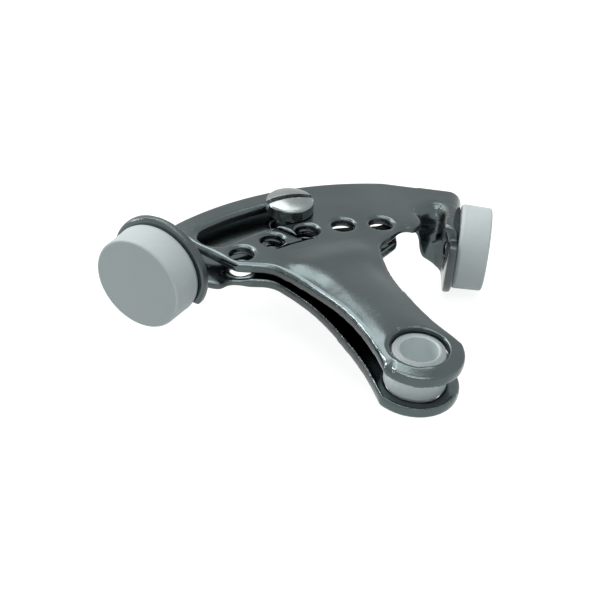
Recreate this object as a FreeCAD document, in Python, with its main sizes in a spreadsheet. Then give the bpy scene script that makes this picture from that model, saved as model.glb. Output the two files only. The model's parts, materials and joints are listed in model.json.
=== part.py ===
"""Hinge pin door stop: two pressed steel arms that swing about a hinge pin and carry rubber buffers.

Both arms are the same stamping, and the lower one is the upper one turned over about the arm's own
length. Each has a sector-shaped head with five index holes, half of the adjusting slot and a lanced
tongue, a dished arm that ends in an eye, and a drawn neck that turns down into a round flange.
Frame: millimetres, origin on the hinge pin's axis midway between the arms, +Z up along the pin and
+Y along the arms towards the clamp screw.
"""

import FreeCAD, Part
import math
import os

import Sketcher
from FreeCAD import Placement, Rotation, Vector

SIZES = [
    ("sheet_thickness", 2.1, "steel sheet of both arms"),
    ("head_gap", 1.1, "space between the two heads"),
    ("eye_gap", 4.0, "space between the borders of the two eyes"),
    ("dish_height", 1.0, "how far the panel of an arm stands above its border"),
    ("border_width", 1.4, "flat border along the arm's sides"),
    ("shoulder_width", 2.9, "slope between that border and the panel"),
    ("eye_rim", 2.75, "metal round the hole in the eye"),
    ("eye_radius", "=eye_hole_radius + eye_rim", "outside of the eye"),
    ("eye_border", 0.7, "flat border round the eye"),
    ("eye_shoulder", 1.0, "slope between that border and the eye's raised ring"),
    ("eye_clearance", 0.35, "hole in the eye off the bushing's end, on the radius"),
    ("eye_hole_radius", "=bushing_end_radius + eye_clearance", "hole in the eye, round the bushing"),
    ("waist_set_in", 1.4, "how much narrower the arm is than the eye, on each side"),
    ("waist_half_width", "=eye_radius - waist_set_in", "half width of the arm where it is narrowest"),
    ("waist_reach", 10.0, "distance of the waist from the pin"),
    ("flare_radius", 52.0, "hollow curve of the arm's sides"),
    ("throat_reach", 32.6, "distance from the pin at which the sides run out into the head"),
    ("throat_level", 4.1, "level stretch of the arm before the throat"),
    ("joggle_end", "=throat_reach - throat_level", "where the arm has come down to the head's level"),
    ("panel_past_throat", 3.8, "how far the panel runs into the head"),
    ("panel_reach", "=throat_reach + panel_past_throat", "radius at which the panel ends in the head"),
    ("panel_fade", 6.5, "length over which it fades"),
    ("seam_past_panel", 0.8, "level metal between the panel's end and the flat head"),
    ("rim_web", 4.8, "metal between the slot and the rim"),
    ("head_radius", "=slot_radius + slot_width / 2 + rim_web", "outer rim of the head"),
    ("head_angle", 26.0, "half angle of the head at its free end, degrees"),
    ("ear_set_in", 1.9, "inner corner of the head inside the circle of the index holes"),
    ("ear_radius", "=index_radius - ear_set_in", "inner corner of the head at its free end"),
    ("ear_corner", 2.0, "rounding of that corner"),
    ("rim_corner", 3.0, "rounding between the rim and the free end"),
    ("throat_radius", 5.0, "rounding between the arm's side and the head"),
    ("throat_web", 8.8, "from the throat to the circle of the index holes"),
    ("index_radius", "=throat_reach + throat_web", "circle of the index holes about the pin"),
    ("index_pitch", 10.5, "angle from one index hole to the next, degrees"),
    ("index_hole_diameter", 4.5, "index hole"),
    ("slot_play", 0.375, "screw's shank off the sides of the slot"),
    ("slot_width", "=2 * (screw_radius + slot_play)", "width of the adjusting slot"),
    ("index_web", 1.95, "metal between the index holes and the slot"),
    ("slot_edge", "=index_radius + index_hole_diameter / 2 + index_web", "its inner side"),
    ("slot_radius", "=slot_edge + slot_width / 2", "its middle line"),
    ("slot_angle", 20.0, "travel of the screw along one slot, degrees"),
    ("lance_web", 0.4, "metal between the index holes and the lance"),
    ("lance_radius", "=index_radius - index_hole_diameter / 2 - lance_web", "cut below the lanced tongue"),
    ("lance_width", 0.5, "width of the cuts that free the tongue"),
    ("tongue_bend", 3.0, "how far the tongue is pressed down, degrees"),
    ("flange_radius", 9.7, "round flange behind a buffer"),
    ("flange_set_in", 1.0, "flange's centre inside the middle line of the slot"),
    ("flange_reach", "=slot_radius - flange_set_in", "distance of the flange's centre from the pin"),
    ("flange_bearing", 41.8, "angle of the flange's centre from the arm's length, degrees"),
    ("flange_turn", 34.9, "angle of the flange's axis below +X, degrees"),
    ("flange_drop", 5.2, "flange's centre below the joint plane"),
    ("neck_length", 11.0, "from the head to the flange's face"),
    ("neck_back", 8.6, "outer edge of the neck, measured from the flange's centre"),
    ("neck_bend_radius", 3.1, "outer bend between neck and flange"),
    ("neck_front", 5.6, "inner edge of the bend, measured from the flange's centre"),
    ("funnel_left", -6.9, "left side of the hollow drawn into the neck, level with the flange's centre"),
    ("funnel_right", -3.6, "its right side, behind the flange's face"),
    ("funnel_slant", 56.0, "slant of its left side in plan, degrees"),
    ("funnel_corner", 1.3, "rounding where the two sides meet"),
    ("funnel_draught", 10.0, "lean of its wall, degrees"),
    ("funnel_roll", 2.2, "rolled edge on its left side"),
    ("funnel_edge", 0.45, "rolled edge on its right side"),
    ("web_front", 1.5, "front of the gusset, measured from the flange's centre"),
    ("web_radius", 5.9, "round foot of the gusset"),
    ("cheek_drop", 3.6, "how far the gusset's root hangs below the joint plane"),
    ("ear_depth", 7.9, "corner of the head, measured from the flange's centre"),
    ("lip_start", 9.6, "where that corner starts to roll down, behind the flange's face"),
    ("lip_roll", 2.6, "outer radius of the rolled corner"),
    ("lip_reach", 6.6, "tip of the rolled corner, behind the flange's face"),
    ("lip_back", 1.4, "tip of the rolled corner in front of the gusset"),
    ("lip_flat", 0.6, "level stretch of its front edge past the start of the roll"),
    ("lip_corner", 1.2, "rounding at the end of that stretch"),
    ("lip_point", 0.3, "rounding of the tip"),
    ("buffer_diameter", 17.4, "rubber buffer"),
    ("buffer_length", 6.2, "buffer from the flange to its striking face"),
    ("buffer_narrowing", 0.3, "how much narrower the buffer is at its striking face, on the radius"),
    ("buffer_bevel", 0.9, "bevel round the striking face"),
    ("stem_radius", 2.4, "locating stem of the buffer"),
    ("stem_clearance", 0.05, "between the stem and its hole, on the radius"),
    ("stem_length", 2.0, "the stem, just short of the flange's back"),
    ("pin_bore_diameter", 6.55, "bore for a quarter inch hinge pin"),
    ("bushing_end_radius", 4.5, "bushing inside the eyes"),
    ("bushing_shoulder", 0.45, "how far the bushing's body reaches under the eye"),
    ("bushing_body_radius", "=eye_hole_radius + bushing_shoulder", "bushing between the eyes"),
    ("bushing_rise", 4.3, "rim of the bushing's bore above the joint plane"),
    ("bushing_crown", 0.3, "fall of the bushing's end from the bore outwards"),
    ("bushing_chamfer", 0.3, "broken edges of the bushing"),
    ("screw_radius", 3.175, "quarter inch clamp screw"),
    ("screw_head_ledge", 1.525, "head past the shank, on the radius"),
    ("screw_head_radius", "=screw_radius + screw_head_ledge", "fillister head"),
    ("screw_head_side", 2.4, "straight side of the head"),
    ("screw_head_dome", 0.8, "dome above the side"),
    ("screw_chamfer", 0.6, "tip of the screw"),
    ("driver_slot_width", 1.4, "slot for the screwdriver"),
    ("driver_slot_depth", 1.5, "its depth below the top of the dome"),
    ("driver_slot_turn", -8.0, "direction of that slot as the screw stands, degrees"),
    ("nut_across_flats", 11.1, "hexagon nut"),
    ("nut_height", 5.5, "height of the nut"),
    ("nut_crown", 1.2, "how far outside the flats' circle the corners' bevel is measured"),
    ("thread_end", 1.2, "screw past the nut"),
    ("thread_clearance", 0.05, "between the screw and the nut, on the radius"),
    ("clamp_play", 0.1, "screw head and nut off the arms while the stop is set"),
    ("bushing_play", 0.5, "bushing's shoulders below the eyes' raised rings"),
]

doc = FreeCAD.newDocument("hinge_pin_door_stop")
sheet = doc.addObject("Spreadsheet::Sheet", "sizes")
for row, (alias, value, note) in enumerate(SIZES, start=1):
    sheet.set(f"A{row}", note)
    sheet.setAlias(f"B{row}", alias)
for row, (alias, value, note) in enumerate(SIZES, start=1):
    sheet.set(f"B{row}", str(value))
doc.recompute()


def size(alias):
    """The value that the sheet holds under a name."""
    return float(sheet.get(alias))


def smooth(share):
    """A step from 0 to 1 that starts and ends level."""
    share = min(1.0, max(0.0, share))
    return share * share * (3.0 - 2.0 * share)


def polar(radius, degrees):
    """A point in plan, its angle counted from +X about the pin."""
    angle = math.radians(degrees)
    return Vector(radius * math.cos(angle), radius * math.sin(angle), 0.0)


ARM_AXIS = 90.0
TALL = 60.0


def prism(edges):
    """A tall solid over a closed outline in plan."""
    wire = Part.Wire(Part.__sortEdges__(edges))
    solid = Part.Face(wire).extrude(Vector(0, 0, TALL))
    solid.translate(Vector(0, 0, -TALL / 2))
    return solid


def rounded(points, radii):
    """Edges of a closed polygon whose corners are rounded by arcs."""
    count = len(points)
    starts, ends = [], []
    for index, (corner, radius) in enumerate(zip(points, radii)):
        before = (points[index - 1] - corner).normalize()
        after = (points[(index + 1) % count] - corner).normalize()
        half = before.getAngle(after) / 2
        run = radius / math.tan(half)
        starts.append(corner + before * run)
        ends.append(corner + after * run)
    edges = []
    for index, (corner, radius) in enumerate(zip(points, radii)):
        if radius > 0:
            middle_way = ((starts[index] + ends[index]) / 2 - corner).normalize()
            half = (starts[index] - corner).getAngle(ends[index] - corner) / 2
            middle = corner + middle_way * (radius / math.sin(half) - radius)
            edges.append(Part.Arc(starts[index], middle, ends[index]).toShape())
        following = starts[(index + 1) % count]
        if ends[index].distanceToPoint(following) > 1e-6:
            edges.append(Part.LineSegment(ends[index], following).toShape())
    return edges


class Neck:
    """Frame of the neck: along the flange's axis, across towards the head's rim, and up."""

    def __init__(self):
        turn = math.radians(-size("flange_turn"))
        self.origin = polar(size("flange_reach"), ARM_AXIS - size("flange_bearing"))
        self.out = Vector(math.cos(turn), math.sin(turn), 0)
        self.back = Vector(-math.sin(turn), math.cos(turn), 0)
        self.placement = Placement(self.origin, Rotation(Vector(0, 0, 1), math.degrees(turn)))

    def point(self, out, back):
        return self.origin + self.out * out + self.back * back


neck = Neck()


def half_width(reach):
    """Half width of the arm at a distance from the pin: a hollow circular curve past the waist."""
    past = reach - size("waist_reach")
    flare = size("flare_radius")
    return size("waist_half_width") + flare - math.sqrt(flare * flare - past * past)


def arm_outline():
    """Plan of the eye and the arm, up into the head."""
    reach = size("throat_reach")
    inside = size("panel_reach")
    waist = size("waist_reach")
    eye = size("eye_radius")
    flare_centre = size("waist_half_width") + size("flare_radius")
    distance = math.hypot(flare_centre, waist)
    touch = (distance * distance + eye * eye - size("flare_radius") ** 2) / (2 * distance)
    lift = math.atan2(waist, flare_centre) - math.acos(touch / eye)
    corner = Vector(eye * math.cos(lift), eye * math.sin(lift), 0)
    mid = (waist + reach) / 2
    top = Vector(half_width(reach), reach, 0)
    flip = Rotation(Vector(0, 1, 0), 180)
    side = Part.Arc(corner, Vector(half_width(mid), mid, 0), top).toShape()
    other = Part.Arc(flip * corner, flip * Vector(half_width(mid), mid, 0), flip * top).toShape()
    bottom = Part.Arc(corner, Vector(0, -eye, 0), flip * corner).toShape()
    run = Part.LineSegment(top, Vector(top.x, inside, 0)).toShape()
    across = Part.LineSegment(Vector(top.x, inside, 0), Vector(-top.x, inside, 0)).toShape()
    back = Part.LineSegment(Vector(-top.x, inside, 0), flip * top).toShape()
    return prism([bottom, side, run, across, back, other])


def head_outline():
    """Plan of the head: a sector, square cut at its free end and running into the neck."""
    rim = size("head_radius")
    reach = size("throat_reach")
    free = ARM_AXIS + size("head_angle")
    throat = half_width(reach)
    past = -size("neck_length")
    back = size("neck_back")
    points = [polar(size("ear_radius"), free), polar(rim * 1.1, free), neck.point(-rim, back)]
    points += [neck.point(past, back), neck.point(past, -size("ear_depth"))]
    points += [Vector(throat, reach, 0), Vector(-throat, reach, 0)]
    solid = prism(rounded(points, [size("ear_corner"), 0, 0, 0, 0, 0, 0]))
    return solid.common(Part.makeCylinder(rim, TALL, Vector(0, 0, -TALL / 2)))


def round_upright(solid, corner, radius):
    """Rounds the upright edge of a tall solid that stands at a point in plan."""
    edges = []
    for edge in solid.Edges:
        box = edge.BoundBox
        near = Vector(box.Center.x, box.Center.y, 0).distanceToPoint(corner) < 1e-3
        if near and box.ZLength > TALL / 2:
            edges.append(edge)
    return solid.makeFillet(radius, edges)


def whole_outline():
    """Plan of the head, the arm and the eye in one."""
    reach = size("throat_reach")
    solid = head_outline().fuse(arm_outline()).removeSplitter()
    free_end = polar(size("head_radius"), ARM_AXIS + size("head_angle"))
    solid = round_upright(solid, free_end, size("rim_corner"))
    for side in (-1, 1):
        solid = round_upright(solid, Vector(side * half_width(reach), reach, 0), size("throat_radius"))
    return solid


def slot_cut():
    """Half of the adjusting slot, from the arm's axis towards the free end."""
    middle = size("slot_radius")
    half = size("slot_width") / 2
    low, high = ARM_AXIS, ARM_AXIS + size("slot_angle")
    between = (low + high) / 2
    edges = []
    for radius in (middle + half, middle - half):
        edges.append(Part.Arc(polar(radius, low), polar(radius, between), polar(radius, high)))
    for angle, way in ((low, -1), (high, 1)):
        end = polar(middle, angle) + polar(half, angle + 90 * way)
        edges.append(Part.Arc(polar(middle + half, angle), end, polar(middle - half, angle)))
    return prism([edge.toShape() for edge in edges])


def ring_sector(inner, outer, low, high):
    """A tall solid between two radii and two angles about the pin."""
    between = (low + high) / 2
    edges = [
        Part.Arc(polar(inner, low), polar(inner, between), polar(inner, high)).toShape(),
        Part.Arc(polar(outer, low), polar(outer, between), polar(outer, high)).toShape(),
        Part.LineSegment(polar(inner, low), polar(outer, low)).toShape(),
        Part.LineSegment(polar(inner, high), polar(outer, high)).toShape(),
    ]
    return prism(edges)


def tongue_corners():
    """Where the slanted cut that frees the tongue's tip starts at the slot and ends at the lance."""
    root = ARM_AXIS + size("index_pitch")
    at_slot = polar(size("slot_radius") - size("slot_width") / 2, ARM_AXIS + 0.62 * size("index_pitch"))
    at_lance = polar(size("lance_radius"), ARM_AXIS + 0.2 * size("index_pitch"))
    return root, at_slot, at_lance


def lance_cut():
    """The arc below the tongue and the slanted cut at its tip."""
    root, at_slot, at_lance = tongue_corners()
    lance = size("lance_radius")
    width = size("lance_width")
    arc = ring_sector(lance - width / 2, lance + width / 2, ARM_AXIS - 1, root + 1.5)
    along = (at_lance - at_slot).normalize()
    aside = along.cross(Vector(0, 0, 1)) * (width / 2)
    first = at_slot - along * width
    points = [first + aside, at_lance + aside, at_lance - aside, first - aside]
    return arc.fuse(prism(rounded(points, [0, 0, 0, 0])))


def tongue_zone():
    """Plan of the tongue from the middle of its index hole to its tip."""
    root, at_slot, at_lance = tongue_corners()
    inner = size("lance_radius")
    outer = size("slot_radius")
    points = [polar(inner, root), polar(outer, root), at_slot + (at_slot - at_lance) * 0.3, at_lance]
    return prism(rounded(points, [0, 0, 0, 0]))


def index_holes():
    """Five holes on a circle about the pin."""
    holes = []
    for step in (-2, -1, 0, 1, 2):
        centre = polar(size("index_radius"), ARM_AXIS + step * size("index_pitch"))
        centre.z = -TALL / 2
        holes.append(Part.makeCylinder(size("index_hole_diameter") / 2, TALL, centre))
    return holes


def inner_height(x, y):
    """Height of the sheet's inner face: a joggle from head to eye, and the panel pressed above it."""
    head_level = size("head_gap") / 2
    eye_level = size("eye_gap") / 2
    joggle = (size("joggle_end") - y) / (size("joggle_end") - size("waist_reach"))
    level = head_level + (eye_level - head_level) * smooth(joggle)
    radius = math.hypot(x, y)
    in_eye = size("eye_radius") - radius - size("eye_border")
    in_arm = half_width(min(y, size("panel_reach"))) - abs(x) - size("border_width") if y > 0 else -1.0
    shoulder = max(smooth(in_eye / size("eye_shoulder")), smooth(in_arm / size("shoulder_width")))
    fade = smooth((size("panel_reach") - radius) / size("panel_fade"))
    return level + size("dish_height") * shoulder * fade


def greville(knots, degree):
    """Where the control points of a spline with these knots stand."""
    full = [knots[0]] * degree + knots + [knots[-1]] * degree
    return [sum(full[i + 1 : i + 1 + degree]) / degree for i in range(len(full) - degree - 1)]


def dished_sheet():
    """The formed sheet over the eye and the arm: one smooth face, thickened upwards."""
    eye = size("eye_radius")
    waist = size("waist_half_width")
    reach = size("panel_reach")
    across = [0.0] + [waist * share for share in (0.6, 1.0, 1.4, 2.1)]
    knots_x = [-x for x in reversed(across[1:])] + across
    knots_y = [-eye * share for share in (1.15, 0.95, 0.8, 0.6, 0.0, -0.6)]
    knots_y += [reach * share for share in (0.25, 0.38, 0.52, 0.65, 0.76, 0.85, 0.93)]
    knots_y.append(reach + size("seam_past_panel"))
    degree = 3
    poles = []
    for x in greville(knots_x, degree):
        poles.append([Vector(x, y, inner_height(x, y)) for y in greville(knots_y, degree)])
    times_x = [degree + 1] + [1] * (len(knots_x) - 2) + [degree + 1]
    times_y = [degree + 1] + [1] * (len(knots_y) - 2) + [degree + 1]
    surface = Part.BSplineSurface()
    knots = (times_x, times_y, knots_x, knots_y)
    surface.buildFromPolesMultsKnots(poles, *knots, False, False, degree, degree)
    return surface.toShape().extrude(Vector(0, 0, size("sheet_thickness"))), knots_x[-1], knots_y[-1]


def flat_sheet(edge_x, edge_y):
    """The level sheet of the head, round the dished part."""
    low = size("head_gap") / 2
    far = 2 * size("head_radius")
    plate = Part.makeBox(2 * far, 2 * far, size("sheet_thickness"), Vector(-far, 0, low))
    return plate.cut(Part.makeBox(2 * edge_x, far + edge_y, TALL, Vector(-edge_x, -far, -TALL / 2)))


def hollow(offset, level, foot):
    """Space of the hollow in the neck's front, whose wall leans forward towards its foot."""
    slant = math.radians(size("funnel_slant"))
    along = Vector(math.cos(slant), math.sin(slant), 0)
    outward = Vector(-along.y, along.x, 0)
    start = Vector(size("funnel_left"), 0, 0) + outward * offset
    right = size("funnel_right") + offset
    apex = start + along * ((right - start.x) / along.x)
    far = -3 * size("neck_back")
    front = start + along * ((far - start.y) / along.y)
    outline = rounded([front, apex, Vector(right, far, 0)], [0, size("funnel_corner") + offset, 0])
    face = Part.Face(Part.Wire(Part.__sortEdges__(outline)))
    above = size("sheet_thickness")
    face.translate(Vector(0, 0, level + above))
    space = face.extrude(Vector(0, 0, -(level - foot + 2 * above)))
    space.rotate(Vector(0, 0, level), Vector(1, 0, 0), -size("funnel_draught"))
    return space


def is_level_edge(edge, level):
    """True for an edge that lies wholly at one height."""
    box = edge.BoundBox
    return abs(box.ZMin - level) < 1e-4 and abs(box.ZMax - level) < 1e-4


def is_bend(edge, out, level):
    """True for the straight edge where the neck's top meets the flange's face."""
    box = edge.BoundBox
    return is_level_edge(edge, level) and abs(box.XMin - out) < 1e-4 and abs(box.XMax - out) < 1e-4


def neck_solid():
    """Neck and flange: a strip that turns down, with a hollow drawn into its front as a gusset."""
    thick = size("sheet_thickness")
    low = size("head_gap") / 2
    high = low + thick
    back = size("neck_back")
    bend = size("neck_bend_radius")
    drop = -size("flange_drop")
    radius = size("flange_radius")
    foot = drop - size("web_radius")
    length = size("neck_length") + thick / 2
    strip_front = -size("neck_front")
    web_front = -size("web_front")

    corner = Vector(-length, strip_front, foot - thick)
    block = Part.makeBox(length, back - strip_front, high - corner.z, corner)
    block = block.makeFillet(bend, [edge for edge in block.Edges if is_bend(edge, 0.0, high)])
    block = block.cut(hollow(0.0, high, foot))
    rim = [edge for edge in block.Edges if is_level_edge(edge, high)]
    rim = next(edge for edge in rim if edge.Curve.TypeId != "Part::GeomLine")
    radii = [size("funnel_roll"), size("funnel_edge")]
    if rim.valueAt(rim.FirstParameter).x > rim.valueAt(rim.LastParameter).x:
        radii.reverse()
    block = block.makeFillet(radii[0], radii[1], [rim])
    aside = Vector(size("funnel_right") - thick / 2 - TALL, web_front - TALL, -TALL / 2)
    block = block.cut(Part.makeBox(TALL, TALL, TALL, aside))

    core = Part.makeBox(TALL, 2 * TALL, TALL, Vector(-thick - TALL, -TALL, low - TALL))
    core = core.makeFillet(bend - thick, [edge for edge in core.Edges if is_bend(edge, -thick, low)])
    wall = hollow(thick, high, foot)
    wall = wall.common(Part.makeBox(TALL, TALL, TALL, Vector(-TALL, web_front, -TALL / 2)))
    shell = block.cut(core.cut(wall))

    lobe = Part.makeCylinder(size("web_radius"), TALL, Vector(-thick, -TALL / 2, drop), Vector(0, 1, 0))
    corner = Vector(-thick - size("web_radius"), -TALL / 2, drop)
    upright = Part.makeBox(size("web_radius"), TALL, TALL, corner)
    beside = Part.makeBox(TALL, TALL, TALL, Vector(-thick, -TALL / 2, -TALL / 2))
    cheek = Part.makeBox(TALL, TALL, TALL, Vector(-TALL, -TALL / 2, -size("cheek_drop")))
    shell = shell.common(lobe.fuse([upright, beside, cheek]))
    disc = Part.makeCylinder(radius, TALL, Vector(-TALL / 2, 0, drop), Vector(1, 0, 0))
    above = Part.makeBox(TALL, TALL, TALL, Vector(-TALL / 2, -TALL / 2, high - bend))
    shell = shell.common(disc.fuse(above))
    plate = Part.makeCylinder(radius, thick, Vector(-thick, 0, drop), Vector(1, 0, 0)).cut(above)
    solid = shell.fuse(plate)
    stem_hole = Part.makeCylinder(size("stem_radius"), thick, Vector(-thick, 0, drop), Vector(1, 0, 0))
    solid = solid.cut(stem_hole)
    solid.Placement = neck.placement
    return solid


def lip_solid():
    """The corner of the head in front of the hollow, rolled down to a point."""
    thick = size("sheet_thickness")
    low = size("head_gap") / 2
    roll = size("lip_roll")
    start = -size("lip_start")
    corner = -size("ear_depth")
    web_front = -size("web_front")
    centre = Vector(start, corner - thick, low + thick - roll)
    outer = Part.makeCylinder(roll, TALL, centre, Vector(0, 1, 0))
    ring = outer.cut(Part.makeCylinder(roll - thick, TALL, centre, Vector(0, 1, 0)))
    ring = ring.common(Part.makeBox(roll, TALL, roll, Vector(start, -TALL / 2, centre.z)))
    corner_of_flat = Vector(start - size("neck_length"), -TALL / 2, low)
    flat = Part.makeBox(size("neck_length"), TALL, thick, corner_of_flat)
    strip = ring.fuse(flat)
    past = -size("neck_length")
    tip = Vector(-size("lip_reach"), web_front - size("lip_back"), 0)
    points = [Vector(past, corner, 0), Vector(start + size("lip_flat"), corner, 0), tip]
    points += [Vector(start, web_front, 0), Vector(past, web_front, 0)]
    solid = strip.common(prism(rounded(points, [0, size("lip_corner"), size("lip_point"), 0, 0])))
    solid.Placement = neck.placement
    return solid


def arm_shape():
    """The whole stamping as it lies in the upper position."""
    outline = whole_outline()
    formed, edge_x, edge_y = dished_sheet()
    formed = formed.common(outline)
    formed = formed.cut(Part.makeCylinder(size("eye_hole_radius"), TALL, Vector(0, 0, -TALL / 2)))
    head = flat_sheet(edge_x, edge_y).common(outline)
    for tool in [slot_cut(), lance_cut()] + index_holes():
        head = head.cut(tool)
    zone = tongue_zone()
    tongue = head.common(zone)
    hinge_height = (size("head_gap") + size("sheet_thickness")) / 2
    tongue.rotate(Vector(0, 0, hinge_height), polar(1, tongue_corners()[0]), size("tongue_bend"))
    head = head.cut(zone).fuse([tongue, neck_solid(), lip_solid()]).removeSplitter()
    return head.fuse(formed)


def add_feature(label, shape, placement):
    """A document object for a shape that the standard features can't make."""
    feature = doc.addObject("Part::Feature", label)
    feature.Label = label
    feature.Shape = shape
    feature.Placement = placement
    return feature


def total(terms):
    """Value of a sum of sheet values, each with its factor."""
    return sum(factor * size(alias) for factor, alias in terms)


def formula(terms):
    """The same sum as an expression that follows the sheet."""
    return " + ".join(f"sizes.{alias} * ({factor})" for factor, alias in terms)


def add_body(label, placement):
    """An empty body with its own name and place."""
    body = doc.addObject("PartDesign::Body", label)
    body.Label = label
    body.Placement = placement
    return body


def origin_plane(body, role):
    """One of the body's own base planes."""
    return next(plane for plane in body.Origin.OriginFeatures if plane.Role == role)


def add_sketch(body, name, role):
    """An empty sketch on one of the body's base planes."""
    sketch = body.newObject("Sketcher::SketchObject", name)
    sketch.AttachmentSupport = [(origin_plane(body, role), "")]
    sketch.MapMode = "FlatFace"
    return sketch


def bind(sketch, kind, index, terms):
    """Hold a sketch vertex at a distance from the sketch's origin that follows the sheet."""
    number = sketch.addConstraint(Sketcher.Constraint(kind, -1, 1, index, 1, total(terms)))
    sketch.setExpression(f"Constraints[{number}]", formula(terms))


def draw_outline(sketch, points, dome=None):
    """A closed outline through bound points; the side that starts at point number dome is an arc."""
    places = [Vector(total(across), total(up), 0) for across, up in points]
    first = sketch.GeometryCount
    for index, place in enumerate(places):
        following = places[(index + 1) % len(places)]
        if index == dome:
            rise = following.y - place.y
            radius = (place.x**2 + rise**2) / (2 * rise)
            centre = Vector(0, following.y - radius, 0)
            start = math.atan2(place.y - centre.y, place.x)
            circle = Part.Circle(centre, Vector(0, 0, 1), radius)
            sketch.addGeometry(Part.ArcOfCircle(circle, start, math.pi / 2), False)
        else:
            sketch.addGeometry(Part.LineSegment(place, following), False)
    for index, (across, up) in enumerate(points):
        line = first + index
        following = first + (index + 1) % len(points)
        sketch.addConstraint(Sketcher.Constraint("Coincident", line, 2, following, 1))
        if across:
            bind(sketch, "DistanceX", line, across)
        else:
            sketch.addConstraint(Sketcher.Constraint("PointOnObject", line, 1, -2))
        if up:
            bind(sketch, "DistanceY", line, up)
        else:
            sketch.addConstraint(Sketcher.Constraint("PointOnObject", line, 1, -1))
        if index == dome:
            sketch.addConstraint(Sketcher.Constraint("PointOnObject", line, 3, -2))


def revolve(body, kind, name, sketch):
    """Turn a sketch once round its own vertical axis."""
    feature = body.newObject(kind, name)
    feature.Profile = sketch
    feature.ReferenceAxis = (sketch, ["V_Axis"])
    feature.Angle = 360
    sketch.Visibility = False
    return feature


def minus(terms):
    """The same sum with its sign turned."""
    return [(-factor, alias) for factor, alias in terms]


ARM_FACE = [(0.5, "head_gap"), (1, "sheet_thickness")]
SEAT = ARM_FACE + [(1, "clamp_play")]


def make_bushing():
    """Plastic bushing that both eyes turn on and the hinge pin goes through."""
    body = add_body("pin_bushing", Placement())
    bore = [(0.5, "pin_bore_diameter")]
    end = [(1, "bushing_end_radius")]
    shoulder = [(1, "bushing_body_radius")]
    broken = [(1, "bushing_chamfer")]
    half = [(0.5, "eye_gap"), (1, "dish_height"), (-1, "bushing_play")]
    rim = [(1, "bushing_rise")]
    edge = [(1, "bushing_rise"), (-1, "bushing_crown")]
    upper = [
        (shoulder, half),
        (end, half),
        (end, edge + minus(broken)),
        (end + minus(broken), edge),
        (bore + broken, rim),
        (bore, rim + minus(broken)),
    ]
    lower = [(across, minus(up)) for across, up in reversed(upper)]
    sketch = add_sketch(body, "bushing_section", "XZ_Plane")
    draw_outline(sketch, lower + upper)
    body.Tip = revolve(body, "PartDesign::Revolution", "bushing_turned", sketch)


def make_screw():
    """Slotted screw that clamps the two heads together."""
    turn = Rotation(Vector(0, 0, 1), size("driver_slot_turn"))
    body = add_body("clamp_screw", Placement(Vector(0, size("slot_radius"), 0), turn))
    shank = [(1, "screw_radius")]
    head = [(1, "screw_head_radius")]
    broken = [(1, "screw_chamfer")]
    tip = minus(SEAT) + [(-1, "nut_height"), (-1, "thread_end")]
    side = SEAT + [(1, "screw_head_side")]
    top = side + [(1, "screw_head_dome")]
    points = [([], tip), (shank + minus(broken), tip), (shank, tip + broken), (shank, SEAT)]
    points += [(head, SEAT), (head, side), ([], top)]
    sketch = add_sketch(body, "screw_section", "XZ_Plane")
    draw_outline(sketch, points, dome=5)
    revolve(body, "PartDesign::Revolution", "screw_turned", sketch)
    cut = add_sketch(body, "driver_slot_outline", "XY_Plane")
    wide = [(0.5, "driver_slot_width")]
    long = [(1.5, "screw_head_radius")]
    draw_outline(cut, [(minus(long), minus(wide)), (long, minus(wide)), (long, wide), (minus(long), wide)])
    cut.setExpression("AttachmentOffset.Base.z", formula(top))
    pocket = body.newObject("PartDesign::Pocket", "driver_slot")
    pocket.Profile = cut
    pocket.setExpression("Length", "sizes.driver_slot_depth")
    cut.Visibility = False
    body.Tip = pocket


def make_nut():
    """Hexagon nut under the lower head, with bevelled corners."""
    height = total(SEAT) + size("nut_height")
    body = add_body("clamp_nut", Placement(Vector(0, size("slot_radius"), -height), Rotation()))
    flats = "nut_across_flats"
    corner = 1 / math.sqrt(3)
    hexagon = [
        ([(corner, flats)], []),
        ([(corner / 2, flats)], [(0.5, flats)]),
        ([(-corner / 2, flats)], [(0.5, flats)]),
        ([(-corner, flats)], []),
        ([(-corner / 2, flats)], [(-0.5, flats)]),
        ([(corner / 2, flats)], [(-0.5, flats)]),
    ]
    sketch = add_sketch(body, "nut_outline", "XY_Plane")
    draw_outline(sketch, hexagon)
    bore = size("screw_radius") + size("thread_clearance")
    circle = sketch.addGeometry(Part.Circle(Vector(), Vector(0, 0, 1), bore), False)
    sketch.addConstraint(Sketcher.Constraint("Coincident", circle, 3, -1, 1))
    number = sketch.addConstraint(Sketcher.Constraint("Radius", circle, bore))
    sketch.setExpression(f"Constraints[{number}]", "sizes.screw_radius + sizes.thread_clearance")
    pad = body.newObject("PartDesign::Pad", "nut_blank")
    pad.Profile = sketch
    pad.setExpression("Length", "sizes.nut_height")
    sketch.Visibility = False
    bevel = add_sketch(body, "nut_bevel", "XZ_Plane")
    inner = [(0.48, flats)]
    outer = inner + [(1, "nut_crown")]
    slope = math.tan(math.radians(30))
    up = [(1, "nut_height")]
    fall = [(slope, "nut_crown")]
    draw_outline(bevel, [(inner, up), (outer, up + minus(fall)), (outer, up)])
    draw_outline(bevel, [(inner, []), (outer, []), (outer, fall)])
    body.Tip = revolve(body, "PartDesign::Groove", "nut_corners", bevel)


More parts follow.
